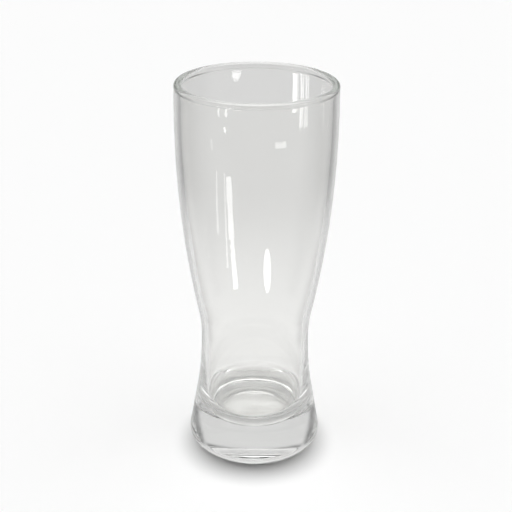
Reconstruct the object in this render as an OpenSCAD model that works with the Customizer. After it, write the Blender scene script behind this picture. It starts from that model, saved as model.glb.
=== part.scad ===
// Pilsner glass: a thin blown bowl with a full belly and a drawn-in waist, hot-joined to a heavy pressed base.
// Millimetres, +Z up. The origin is the middle of the foot, on the surface that the glass stands on.

/* [Outside] */
// Height from the table to the top of the lip
glass_h = 188; // [176:0.5:200]
// Widest diameter of the belly
belly_d = 75.7; // [70:0.1:82]
// Height of the widest place of the belly
belly_h = 169.7; // [160:0.1:174]
// Smallest diameter of the waist
waist_d = 53.5; // [48:0.1:58]
// Height of the waist
waist_h = 59.5; // [52:0.1:66]
// Share of the curve from waist to belly that hollows in at the waist, the rest swelling out to the belly
waist_hollow_share = 0.118; // [0.06:0.002:0.4]

/* [Inside] */
// Wall of the bowl, from the lip down to the waist
wall_t = 3.1; // [2.2:0.1:3.8]
// Radius of the inside curve from the waist down to the floor, a longer one leaving a thicker wall at the foot
chamber_r = 445; // [300:5:1500]
// Radius of the round bottom between the inside wall and the floor
corner_r = 14; // [8:0.1:18]
// Radius of the shallow dish of the inside floor
floor_r = 180; // [80:5:400]
// Height of the middle of the inside floor above the table
floor_h = 14.6; // [12:0.1:20]

/* [Base] */
// Diameter where the flare would reach the table if the heel were sharp
base_d = 68.8; // [62:0.1:76]
// Share of the longest arc from waist to table that the flare's hollow takes, below which it runs straight
flare_hollow_share = 0.776; // [0.5:0.002:0.96]
// Radius of the round heel
heel_r = 4.7; // [2:0.1:7]
// How far the lowest place of the round heel stays off the table
heel_lift = 0.4; // [0.2:0.05:0.8]
// How far the flat ring that the glass stands on lies inside the middle of the heel's round
ring_inset = 2.9; // [1.5:0.1:6]
// Width of that ring
ring_w = 1.8; // [1:0.1:4]
// Depth of the hollow under the foot, inside the ring
kick_h = 0.7; // [0.3:0.1:2]
// Height of the seat where the bowl is joined to the base
seat_h = 9; // [7:0.1:10.5]

/* [Hidden] */

$fn = 96;
// Steps along a long curve of the outline, and round a short one
long_steps = 28;
short_steps = 10;
// How far a layer runs past the glass
overrun = 2;

belly_rad = belly_d / 2;
waist_rad = waist_d / 2;
base_rad = base_d / 2;
lip_r = wall_t / 2;

// The flare below the waist: an arc that starts upright at the waist and runs out straight to the table
flare_arc_r = flare_hollow_share * ((base_rad - waist_rad) ^ 2 + waist_h ^ 2) / (2 * (base_rad - waist_rad));
flare_c = [waist_rad + flare_arc_r, waist_h];
flare_lean = 180 + atan2(-flare_c.y, base_rad - flare_c.x)
    - acos(flare_arc_r / norm([base_rad, 0] - flare_c));

// The heel, lifted off the table, and the sole, a wide arc that rises from the standing ring to the heel
heel_c = [base_rad - (heel_r + heel_lift) * tan(flare_lean) - heel_r / cos(flare_lean), heel_r + heel_lift];
ring_rad = heel_c.x - ring_inset;
sole_r = heel_r + (ring_inset ^ 2 / heel_lift + heel_lift) / 2;
sole_c = [ring_rad, sole_r];
sole_end = atan2(heel_c.y - sole_c.y, ring_inset);

// From the waist to the belly: a hollow arc and a swelling arc that meet in one line, upright at both ends
rise_r = ((belly_rad - waist_rad) ^ 2 + (belly_h - waist_h) ^ 2) / (2 * (belly_rad - waist_rad));
rise_lean = asin((belly_h - waist_h) / rise_r);
hollow_r = waist_hollow_share * rise_r;
hollow_c = [waist_rad + hollow_r, waist_h];
swell_r = rise_r - hollow_r;
swell_c = [belly_rad - swell_r, belly_h];

// The fire-polished lip: a half round that closes the wall at the top of the swelling arc
lip_lean = asin((glass_h - lip_r - belly_h) / (swell_r - lip_r));
lip_c = swell_c + (swell_r - lip_r) * [cos(lip_lean), sin(lip_lean)];

// The chamber below the waist: its wall, the round bottom and the dished floor run into each other
chamber_c = [waist_rad - wall_t + chamber_r, waist_h];
floor_c = [0, floor_h + floor_r];
corner_c = meeting(floor_c, floor_r - corner_r, chamber_c, chamber_r + corner_r);
corner_top = asin((chamber_c.y - corner_c.y) / (chamber_r + corner_r));
corner_foot = atan2(corner_c.y - floor_c.y, corner_c.x);

// The hollow under the foot, inside the ring that the glass stands on
kick_rad = ring_rad - ring_w;
kick_arc_r = (kick_rad ^ 2 + kick_h ^ 2) / (2 * kick_h);
kick_lean = asin(kick_rad / kick_arc_r);
kick_c = [0, kick_h - kick_arc_r];

// Points along an arc, by the angle from the outward direction
function arc(centre, radius, from, to, steps) =
    [for (i = [0:steps]) let (a = from + (to - from) * i / steps) centre + radius * [cos(a), sin(a)]];

// The lower of the two points at one distance from a and another from b, b lying outside a
function meeting(a, from_a, b, from_b) =
    let (
        along = (b - a) / norm(b - a),
        reach = (norm(b - a) ^ 2 + from_a ^ 2 - from_b ^ 2) / (2 * norm(b - a)),
        off = sqrt(from_a ^ 2 - reach ^ 2)
    )
    a + reach * along + off * [along.y, -along.x];

// Outside of the glass, from the middle of the underside up to the lip
outside = concat(
    arc(kick_c, kick_arc_r, 90, 90 - kick_lean, short_steps),
    arc(sole_c, sole_r, -90, sole_end, short_steps),
    arc(heel_c, heel_r, sole_end, flare_lean, short_steps),
    arc(flare_c, flare_arc_r, 180 + flare_lean, 180, long_steps),
    arc(hollow_c, hollow_r, 180, 180 - rise_lean, short_steps),
    arc(swell_c, swell_r, -rise_lean, lip_lean, long_steps)
);

// Inside of the glass, from the lip down to the middle of the floor
inside = concat(
    arc(lip_c, lip_r, lip_lean, 180 + lip_lean, short_steps),
    arc(swell_c, swell_r - wall_t, lip_lean, -rise_lean, long_steps),
    arc(hollow_c, hollow_r + wall_t, 180 - rise_lean, 180, short_steps),
    arc(chamber_c, chamber_r, 180, 180 + corner_top, short_steps),
    arc(corner_c, corner_r, corner_top, corner_foot, short_steps),
    arc(floor_c, floor_r, corner_foot, -90, short_steps)
);

// Half of the glass cut through its axis
module half_section() {
    polygon(concat(outside, inside));
}

// Everything from one height up to another, wide enough for the whole glass
module layer(bottom, top) {
    translate([0, bottom])
        square([max(belly_rad, base_rad) + overrun, top - bottom]);
}

// Blown bowl: the lip, belly and waist, and the floor with the flare beside it down to the seat
module bowl() {
    color([0.86, 0.92, 0.90, 0.45])
        rotate_extrude()
            intersection() {
                half_section();
                layer(seat_h, glass_h + overrun);
            }
}

// Pressed base: the solid foot under the seat, with its flare, heel, sole, standing ring and hollow underside
module base() {
    color([0.80, 0.88, 0.86, 0.60])
        rotate_extrude()
            intersection() {
                half_section();
                layer(-overrun, seat_h);
            }
}

base();
bowl();
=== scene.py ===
import math

import bpy
from mathutils import Matrix, Vector


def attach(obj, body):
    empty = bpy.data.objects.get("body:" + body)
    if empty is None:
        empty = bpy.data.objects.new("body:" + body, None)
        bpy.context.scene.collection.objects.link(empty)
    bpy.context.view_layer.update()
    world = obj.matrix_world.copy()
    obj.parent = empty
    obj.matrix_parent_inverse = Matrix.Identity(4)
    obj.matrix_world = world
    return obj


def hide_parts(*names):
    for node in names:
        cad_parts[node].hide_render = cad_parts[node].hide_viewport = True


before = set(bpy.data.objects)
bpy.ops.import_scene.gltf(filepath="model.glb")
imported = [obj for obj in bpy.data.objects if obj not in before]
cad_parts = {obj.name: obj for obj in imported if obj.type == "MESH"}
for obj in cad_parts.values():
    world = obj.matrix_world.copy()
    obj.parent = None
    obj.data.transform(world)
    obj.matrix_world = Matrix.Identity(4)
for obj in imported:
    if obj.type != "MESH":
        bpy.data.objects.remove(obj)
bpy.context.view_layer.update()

# Glass
# One body of clear soda-lime glass: a blown bowl with a full belly and a drawn-in waist, joined hot to a
# pressed foot, so that no seam is left. The half outline is drawn arc by arc, from the middle of the hollow
# underside to the heel, up to the slight bead of the fire-polished lip and down the inside, and turned round.

MM = 0.001
GLASS_H = 188.0
BELLY_RAD, BELLY_H = 37.85, 169.7
WAIST_RAD, WAIST_H, WAIST_HOLLOW_SHARE = 26.75, 59.5, 0.118
WALL_T, BEAD_R, BEAD_IN, FILLET_R = 3.1, 1.8, 0.15, 1.0
CHAMBER_R, CORNER_R, FLOOR_R, FLOOR_H = 445.0, 14.0, 180.0, 14.6
BASE_RAD, FLARE_HOLLOW_SHARE = 34.4, 0.776
HEEL_R, HEEL_LIFT, RING_INSET, RING_W, KICK_H = 4.7, 0.4, 2.9, 1.8, 0.7
FLARE_STEPS, STEPS_ROUND = 14, 176

# centres, radii and leans of the arcs, in millimetres and radians
flare_r = FLARE_HOLLOW_SHARE * ((BASE_RAD - WAIST_RAD) ** 2 + WAIST_H ** 2) / (2 * (BASE_RAD - WAIST_RAD))
flare_c = (WAIST_RAD + flare_r, WAIST_H)
flare_lean = (math.pi + math.atan2(-WAIST_H, BASE_RAD - flare_c[0])
              - math.acos(flare_r / math.hypot(BASE_RAD - flare_c[0], WAIST_H)))
heel_h = HEEL_R + HEEL_LIFT
heel_c = (BASE_RAD - heel_h * math.tan(flare_lean) - HEEL_R / math.cos(flare_lean), heel_h)
ring_rad = heel_c[0] - RING_INSET
sole_r = HEEL_R + (RING_INSET ** 2 / HEEL_LIFT + HEEL_LIFT) / 2
sole_end = math.atan2(heel_h - sole_r, RING_INSET)
kick_rad = ring_rad - RING_W
kick_r = (kick_rad ** 2 + KICK_H ** 2) / (2 * KICK_H)
kick_lean = math.asin(kick_rad / kick_r)
rise_r = ((BELLY_RAD - WAIST_RAD) ** 2 + (BELLY_H - WAIST_H) ** 2) / (2 * (BELLY_RAD - WAIST_RAD))
rise_lean = math.asin((BELLY_H - WAIST_H) / rise_r)
hollow_r = WAIST_HOLLOW_SHARE * rise_r
hollow_c = (WAIST_RAD + hollow_r, WAIST_H)
swell_r = rise_r - hollow_r
swell_c = (BELLY_RAD - swell_r, BELLY_H)
bead_off = swell_r - WALL_T / 2 - BEAD_IN
bead_lean = math.asin((GLASS_H - BEAD_R - BELLY_H) / bead_off)


def off_swell(radius, lean):
    """The place at a distance from the middle of the swelling arc, in the direction of a lean."""
    return swell_c[0] + radius * math.cos(lean), swell_c[1] + radius * math.sin(lean)


def fillet_lean(radius):
    """The lean at which a fillet's middle, at this distance from the swelling arc's, touches the bead."""
    apart = BEAD_R + FILLET_R
    return bead_lean - math.acos((bead_off ** 2 + radius ** 2 - apart ** 2) / (2 * bead_off * radius))


bead_c = off_swell(bead_off, bead_lean)
out_off, in_off = swell_r + FILLET_R, swell_r - WALL_T - FILLET_R
out_lean, in_lean = fillet_lean(out_off), fillet_lean(in_off)
out_c, in_c = off_swell(out_off, out_lean), off_swell(in_off, in_lean)
bead_from = math.atan2(out_c[1] - bead_c[1], out_c[0] - bead_c[0])
bead_to = 2 * math.pi + math.atan2(in_c[1] - bead_c[1], in_c[0] - bead_c[0])
chamber_c = (WAIST_RAD - WALL_T + CHAMBER_R, WAIST_H)
floor_c = (0.0, FLOOR_H + FLOOR_R)
# the round corner touches the dished floor and the chamber's wall: its centre is where two circles meet
between = Vector(chamber_c) - Vector(floor_c)
along = between.normalized()
reach = (between.length ** 2 + (FLOOR_R - CORNER_R) ** 2 - (CHAMBER_R + CORNER_R) ** 2) / (2 * between.length)
aside = math.sqrt((FLOOR_R - CORNER_R) ** 2 - reach ** 2)
corner_c = Vector(floor_c) + reach * along + aside * Vector((along.y, -along.x))
corner_top = math.asin((chamber_c[1] - corner_c.y) / (CHAMBER_R + CORNER_R))
corner_foot = math.atan2(corner_c.y - floor_c[1], corner_c.x)

# one vertex to start from, in the middle of the hollow underside
bpy.ops.object.select_all(action="DESELECT")
bpy.ops.mesh.primitive_plane_add(size=MM, location=(0, 0, KICK_H * MM))
glass = bpy.context.object
glass.name = glass.data.name = "glass"
bpy.ops.object.transform_apply(location=True, rotation=True, scale=True)
bpy.ops.object.mode_set(mode="EDIT")
bpy.ops.mesh.select_mode(type="VERT")
bpy.ops.mesh.select_all(action="SELECT")
bpy.ops.mesh.merge(type="CENTER")


def sweep(centre, start, end, steps):
    """Draws the outline on from its last point, round a centre in the XZ plane, from one angle to another."""
    bpy.ops.mesh.spin(steps=steps, angle=end - start, center=(centre[0] * MM, 0, centre[1] * MM),
                      axis=(0, 1, 0), use_auto_merge=False, use_normal_flip=False)


# the hollow underside, the standing ring, the sole and the heel
UP, DOWN, IN = math.pi / 2, -math.pi / 2, math.pi
sweep((0, KICK_H - kick_r), UP, UP - kick_lean, steps=16)
bpy.ops.mesh.extrude_region_move(TRANSFORM_OT_translate={"value": (RING_W * MM, 0, 0)})
sweep((ring_rad, sole_r), DOWN, sole_end, steps=14)
sweep(heel_c, sole_end, flare_lean, steps=22)
# the straight stretch from the heel to the flare, and the outside up to the lip
flare_end = Vector((flare_c[0] - flare_r * math.cos(flare_lean), flare_c[1] - flare_r * math.sin(flare_lean)))
heel_end = Vector((heel_c[0] + HEEL_R * math.cos(flare_lean), heel_c[1] + HEEL_R * math.sin(flare_lean)))
step = (flare_end - heel_end) / FLARE_STEPS
for _ in range(FLARE_STEPS):
    bpy.ops.mesh.extrude_region_move(TRANSFORM_OT_translate={"value": (step.x * MM, 0, step.y * MM)})
sweep(flare_c, IN + flare_lean, IN, steps=60)
sweep(hollow_c, IN, IN - rise_lean, steps=24)
sweep(swell_c, -rise_lean, out_lean, steps=60)
# the lip's bead between its two fillets, and the inside down to the middle of the floor
sweep(out_c, IN + out_lean, IN + bead_from, steps=6)
sweep(bead_c, bead_from, bead_to, steps=24)
sweep(in_c, bead_to - IN, in_lean, steps=6)
sweep(swell_c, in_lean, -rise_lean, steps=60)
sweep(hollow_c, IN - rise_lean, IN, steps=24)
sweep(chamber_c, IN, IN + corner_top, steps=50)
sweep(corner_c, corner_top, corner_foot, steps=60)
sweep(floor_c, corner_foot, DOWN, steps=16)

# turned once round the axis, and closed at the seam and at both middles
bpy.ops.mesh.select_all(action="SELECT")
bpy.ops.mesh.spin(steps=STEPS_ROUND, angle=2 * math.pi, center=(0, 0, 0), axis=(0, 0, 1))
bpy.ops.mesh.select_all(action="SELECT")
bpy.ops.mesh.remove_doubles(threshold=0.005 * MM)
bpy.ops.mesh.normals_make_consistent(inside=False)
bpy.ops.object.mode_set(mode="OBJECT")
bpy.ops.object.shade_smooth()

clear_glass = bpy.data.materials.new("clear_glass")
clear_glass.use_nodes = True
nodes, links = clear_glass.node_tree.nodes, clear_glass.node_tree.links
shader = nodes["Principled BSDF"]
shader.inputs["Base Color"].default_value = (1.0, 1.0, 0.99, 1)
shader.inputs["IOR"].default_value = 1.52
shader.inputs["Transmission Weight"].default_value = 1.0
# the blown wall is never quite even: long low waves up its height, and a polish that varies a little
place = nodes.new("ShaderNodeTexCoord")
drawn_out = nodes.new("ShaderNodeMapping")
drawn_out.inputs["Scale"].default_value = (1.0, 1.0, 0.3)
waves = nodes.new("ShaderNodeTexNoise")
waves.inputs["Scale"].default_value = 48.0
waves.inputs["Detail"].default_value = 1.0
uneven = nodes.new("ShaderNodeBump")
uneven.inputs["Strength"].default_value = 0.5
uneven.inputs["Distance"].default_value = 0.15 * MM
polish = nodes.new("ShaderNodeMapRange")
polish.inputs["From Min"].default_value = 0.4
polish.inputs["From Max"].default_value = 0.8
polish.inputs["To Max"].default_value = 0.02
links.new(place.outputs["Object"], drawn_out.inputs["Vector"])
links.new(drawn_out.outputs["Vector"], waves.inputs["Vector"])
links.new(waves.outputs["Fac"], uneven.inputs["Height"])
links.new(waves.outputs["Fac"], polish.inputs["Value"])
links.new(uneven.outputs["Normal"], shader.inputs["Normal"])
links.new(polish.outputs["Result"], shader.inputs["Roughness"])
# the faint tint that thick glass takes on
tint = nodes.new("ShaderNodeVolumeAbsorption")
tint.inputs["Color"].default_value = (0.92, 0.94, 0.92, 1)
tint.inputs["Density"].default_value = 1.8
links.new(tint.outputs["Volume"], nodes["Material Output"].inputs["Volume"])
glass.data.materials.append(clear_glass)

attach(glass, "root")
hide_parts("bowl", "base")

# Table
# A plain table top of pale matt paper, laid flat under the glass and white to the eye. What the glass shows
# of it is painted shade in several greys, and beside the glass the camera sees the foot's soft shadow painted
# in it.

TABLE_ACROSS, TABLE_WHITE, TABLE_PALE = 8.0, 1.0, 0.84
# painted shade: the greys that the glass shows of the table behind it, at the sides, before it and at the
# foot
BEHIND_NEAR, BEHIND_FAR, SIDE_NEAR, SIDE_FAR = 0.87, 0.69, 0.58, 0.40
BESIDE, BEFORE = 0.80, 0.80
ROUND_FOOT, ROUND_HEEL, UNDER_HEEL, UNDER_FOOT = 0.86, 0.74, 0.57, 0.68
# the foot's painted soft shadow: its middle, the distances over which it fades out, and its darkest grey
SHADOW_MIDDLE, SHADOW_FROM, SHADOW_TO, SHADOW_DARK = (0, -8.5 * MM, 0), 16 * MM, 44 * MM, 0.15

bpy.ops.object.select_all(action="DESELECT")
bpy.ops.mesh.primitive_plane_add(size=TABLE_ACROSS)
table = bpy.context.object
table.name = "table"
paper = bpy.data.materials.new("table_paper")
paper.use_nodes = True
nodes, links = paper.node_tree.nodes, paper.node_tree.links
shader = nodes["Principled BSDF"]
shader.inputs["Roughness"].default_value = 0.9
shader.inputs["Specular IOR Level"].default_value = 0.0
place = nodes.new("ShaderNodeTexCoord")
spot = nodes.new("ShaderNodeSeparateXYZ")
links.new(place.outputs["Object"], spot.inputs[0])
heading = nodes.new("ShaderNodeVectorMath")
heading.operation = "NORMALIZE"
links.new(place.outputs["Object"], heading.inputs[0])
way = nodes.new("ShaderNodeSeparateXYZ")
links.new(heading.outputs[0], way.inputs[0])
from_axis = nodes.new("ShaderNodeVectorMath")
from_axis.operation = "LENGTH"
links.new(place.outputs["Object"], from_axis.inputs[0])


def fade(tree, value, lo, hi, low, high):
    """A smooth change from one level to another as a value goes from lo to hi."""
    node = tree.nodes.new("ShaderNodeMapRange")
    node.interpolation_type = "SMOOTHSTEP"
    node.inputs["From Min"].default_value = lo
    node.inputs["From Max"].default_value = hi
    tree.links.new(value, node.inputs["Value"])
    for socket, level in (("To Min", low), ("To Max", high)):
        if isinstance(level, float):
            node.inputs[socket].default_value = level
        else:
            tree.links.new(level, node.inputs[socket])
    return node.outputs["Result"]


def ring(lo, hi, inside, outside):
    """One grey inside a ring round the axis and another outside it, with its soft edge in millimetres."""
    return fade(paper.node_tree, from_axis.outputs["Value"], lo * MM, hi * MM, inside, outside)


def wedge(lo, hi, outside, inside):
    """One grey outside a wedge at the back and another inside it, by the share of a way that points back."""
    return fade(paper.node_tree, way.outputs["Y"], lo, hi, outside, inside)


# painted shade in what the glass shows of it: greyer far behind, dark towards the sides, and dim round and
# under the foot, where the foot's shade falls
behind = fade(paper.node_tree, spot.outputs["Y"], 100 * MM, 360 * MM, BEHIND_NEAR, BEHIND_FAR)
far = wedge(0.70, 0.93, SIDE_FAR, behind)
near = wedge(0.84, 0.93, SIDE_NEAR, behind)
near = wedge(0.66, 0.80, BESIDE, near)
near = ring(85, 110, ROUND_FOOT, near)
painted_shade = ring(200, 400, near, far)
painted_shade = wedge(-0.4, 0.2, BEFORE, painted_shade)
painted_shade = ring(46, 52, ROUND_HEEL, painted_shade)
painted_shade = ring(36, 41, UNDER_HEEL, painted_shade)
painted_shade = ring(18, 26, UNDER_FOOT, painted_shade)
path = nodes.new("ShaderNodeLightPath")
in_glass = nodes.new("ShaderNodeMath")
in_glass.operation = "MAXIMUM"
links.new(path.outputs["Is Glossy Ray"], in_glass.inputs[0])
links.new(path.outputs["Is Transmission Ray"], in_glass.inputs[1])
through = nodes.new("ShaderNodeMix")
through.inputs["A"].default_value = TABLE_PALE
links.new(painted_shade, through.inputs["B"])
links.new(in_glass.outputs[0], through.inputs["Factor"])
# what the camera sees beside the glass: white, with the foot's soft shadow painted in a little towards the
# front
from_shadow = nodes.new("ShaderNodeVectorMath")
from_shadow.operation = "DISTANCE"
links.new(place.outputs["Object"], from_shadow.inputs[0])
from_shadow.inputs[1].default_value = SHADOW_MIDDLE
white_and_painted_shadow = fade(paper.node_tree, from_shadow.outputs["Value"], SHADOW_FROM, SHADOW_TO, SHADOW_DARK, TABLE_WHITE)
shade = nodes.new("ShaderNodeMix")
links.new(through.outputs["Result"], shade.inputs["A"])
links.new(white_and_painted_shadow, shade.inputs["B"])
links.new(path.outputs["Is Camera Ray"], shade.inputs["Factor"])
links.new(shade.outputs["Result"], shader.inputs["Base Color"])
# the tooth of the paper
fibres = nodes.new("ShaderNodeTexNoise")
fibres.inputs["Scale"].default_value = 700.0
fibres.inputs["Detail"].default_value = 3.0
tooth = nodes.new("ShaderNodeBump")
tooth.inputs["Strength"].default_value = 0.3
tooth.inputs["Distance"].default_value = 0.1 * MM
links.new(place.outputs["Object"], fibres.inputs["Vector"])
links.new(fibres.outputs["Fac"], tooth.inputs["Height"])
links.new(tooth.outputs["Normal"], shader.inputs["Normal"])
table.data.materials.append(paper)

# Light
# A soft room round the table, made as a world: a pale wall behind, dark high up beside its middle, walls at
# the sides and behind the camera that are dark low down, and a bright ceiling. It lights the table and shows
# in the glass, and the camera sees plain white in its place.

CEILING, BACKDROP = 2.60, 1.0
# which wall a way round the room meets, by the share of it that points back: each pair is a soft edge
BACK_MIDDLE, BACK_EDGE, FRONT_EDGE = (0.988, 0.998), (0.48, 0.70), (-0.88, -0.66)

room = bpy.data.worlds.new("soft_room")
bpy.context.scene.world = room
room.use_nodes = True
nodes, links = room.node_tree.nodes, room.node_tree.links
light = nodes["Background"]
light.inputs["Color"].default_value = (1, 1, 1, 1)
where = nodes.new("ShaderNodeTexCoord")
parts = nodes.new("ShaderNodeSeparateXYZ")
links.new(where.outputs["Generated"], parts.inputs[0])
flat_way = nodes.new("ShaderNodeCombineXYZ")
links.new(parts.outputs["X"], flat_way.inputs["X"])
links.new(parts.outputs["Y"], flat_way.inputs["Y"])
flat_heading = nodes.new("ShaderNodeVectorMath")
flat_heading.operation = "NORMALIZE"
links.new(flat_way.outputs[0], flat_heading.inputs[0])
round_about = nodes.new("ShaderNodeSeparateXYZ")
links.new(flat_heading.outputs[0], round_about.inputs[0])


def wall(level, *changes):
    """One wall's level at its foot, and then where each change up it begins and ends, and to what."""
    for lo, hi, higher_up in changes:
        level = fade(room.node_tree, parts.outputs["Z"], lo, hi, level, higher_up)
    return level


back_middle = wall(0.62, (0.20, 0.30, 0.92), (0.38, 0.46, 0.67), (0.64, 0.72, 0.80), (0.93, 0.97, CEILING))
back_ends = wall(0.22, (0.20, 0.30, 0.92), (0.38, 0.46, 0.67), (0.645, 0.675, 0.03), (0.93, 0.97, CEILING))
sides = wall(0.33, (0.22, 0.32, 0.70), (0.38, 0.46, 0.20), (0.63, 0.70, 1.25), (0.80, 0.86, 2.50),
             (0.92, 0.97, CEILING))
front = wall(0.05, (0.24, 0.45, 0.20), (0.66, 0.74, 0.80), (0.80, 0.97, CEILING))
back = fade(room.node_tree, round_about.outputs["Y"], *BACK_MIDDLE, back_ends, back_middle)
walls = fade(room.node_tree, round_about.outputs["Y"], *BACK_EDGE, sides, back)
walls = fade(room.node_tree, round_about.outputs["Y"], *FRONT_EDGE, front, walls)
# the white backdrop over the table's far edge, the same from any side
glance = nodes.new("ShaderNodeLightPath")
seen = nodes.new("ShaderNodeMix")
links.new(walls, seen.inputs["A"])
seen.inputs["B"].default_value = BACKDROP
links.new(glance.outputs["Is Camera Ray"], seen.inputs["Factor"])
links.new(seen.outputs["Result"], light.inputs["Strength"])
# light goes to and fro many times inside the thick foot before it leaves
cycles = bpy.context.scene.cycles
cycles.max_bounces = cycles.transmission_bounces = cycles.glossy_bounces = 1024
cycles.diffuse_bounces = 8
cycles.blur_glossy = 0.0

# Strip lights
# Narrow soft lamps lie face up on the table in front of the glass, and show as bright bars on its outside.
# Low panels stand at both sides, out of the camera's sight, and show through the front, as bars on the
# inside of the back. The panels on the left have narrow beams, so that each shows there once.

STRIP_H = 2
PANEL_AWAY, PANEL_TILT = 280, math.radians(16.3)


def soft_lamp(name, shape, level, length, width):
    """A flat lamp, in millimetres, that the camera doesn't see, with a power by its level and its size."""
    lamp = bpy.data.lights.new(name, "AREA")
    lamp.shape = shape
    lamp.size, lamp.size_y = length * MM, width * MM
    lamp.energy = level * math.pi * lamp.size * lamp.size_y
    holder = bpy.data.objects.new(name, lamp)
    bpy.context.collection.objects.link(holder)
    holder.visible_camera = False
    return holder


for name, shape, level, x, y, length, width, turn in (
        ("streak_near", "RECTANGLE", 6.0, -98, -149, 84, 21, 50),
        ("streak_mid", "RECTANGLE", 6.0, -151, -212, 84, 33, 50),
        ("streak_far", "RECTANGLE", 6.0, -205, -277, 84, 46, 50),
        ("thin_left", "RECTANGLE", 3.0, -260, -182, 178, 14, 38),
        ("thin_mid", "RECTANGLE", 3.5, -192, -207, 230, 9, 48),
        ("leaf", "ELLIPSE", 6.0, 52, -158, 70, 34, 100),
        ("dash_thin", "RECTANGLE", 6.0, -620, -485, 114, 25, 16),
        ("dash_wide", "RECTANGLE", 6.0, -545, -587, 145, 40, 4),
        ("glint", "ELLIPSE", 6.0, -419, -470, 50, 40, 0)):
    strip = soft_lamp(name, shape, level, length, width)
    strip.location = (x * MM, y * MM, STRIP_H * MM)
    strip.rotation_euler = (math.pi, 0, math.radians(turn))
    strip.visible_transmission = False

for name, level, bearing, aim, beam, height, wide, tall in (
        ("panel_wide", 0.25, 204.0, 35.0, 30, 84.0, 40, 11),
        ("panel_mid", 0.37, 190.5, 21.4, 30, 83.0, 12, 18),
        ("panel_thin", 0.33, 180.5, 10.9, 30, 83.0, 11, 18),
        ("panel_right", 4.5, 303.0, 123.0, 180, 86.0, 78, 7)):
    panel = soft_lamp(name, "RECTANGLE", level, wide, tall)
    panel.data.spread = math.radians(beam)
    to_side = math.radians(bearing)
    panel.location = (PANEL_AWAY * MM * math.cos(to_side), PANEL_AWAY * MM * math.sin(to_side), height * MM)
    panel.rotation_euler = (math.pi / 2 + PANEL_TILT, 0, math.radians(aim) - math.pi / 2)
    panel.visible_glossy = False

# Camera
# It stands in front of the glass, higher than its rim, and looks down on it by the angle that the photo was
# taken at. Its place, pitch, slight roll and focal length were fitted to the outline of the glass.

CAMERA_PLACE = Vector((0.000223, -0.44664, 0.30805))
CAMERA_PITCH, CAMERA_ROLL = math.radians(24.8507), math.radians(-0.45118)
FOCAL_PIXELS, PICTURE_PIXELS, SENSOR = 1011.32, 512, 36.0
ahead = Vector((0, math.cos(CAMERA_PITCH), -math.sin(CAMERA_PITCH)))
across = Vector((1, 0, 0))
below = ahead.cross(across)
right = math.cos(CAMERA_ROLL) * across + math.sin(CAMERA_ROLL) * below
down = math.cos(CAMERA_ROLL) * below - math.sin(CAMERA_ROLL) * across
camera = bpy.data.objects.new("camera", bpy.data.cameras.new("camera"))
bpy.context.collection.objects.link(camera)
camera.data.sensor_width = SENSOR
camera.data.lens = FOCAL_PIXELS / PICTURE_PIXELS * SENSOR
camera.data.clip_start = 10 * MM
camera.matrix_world = Matrix((right, -down, -ahead)).transposed().to_4x4()
camera.location = CAMERA_PLACE
bpy.context.scene.camera = camera
bpy.context.scene.view_settings.view_transform = "Standard"
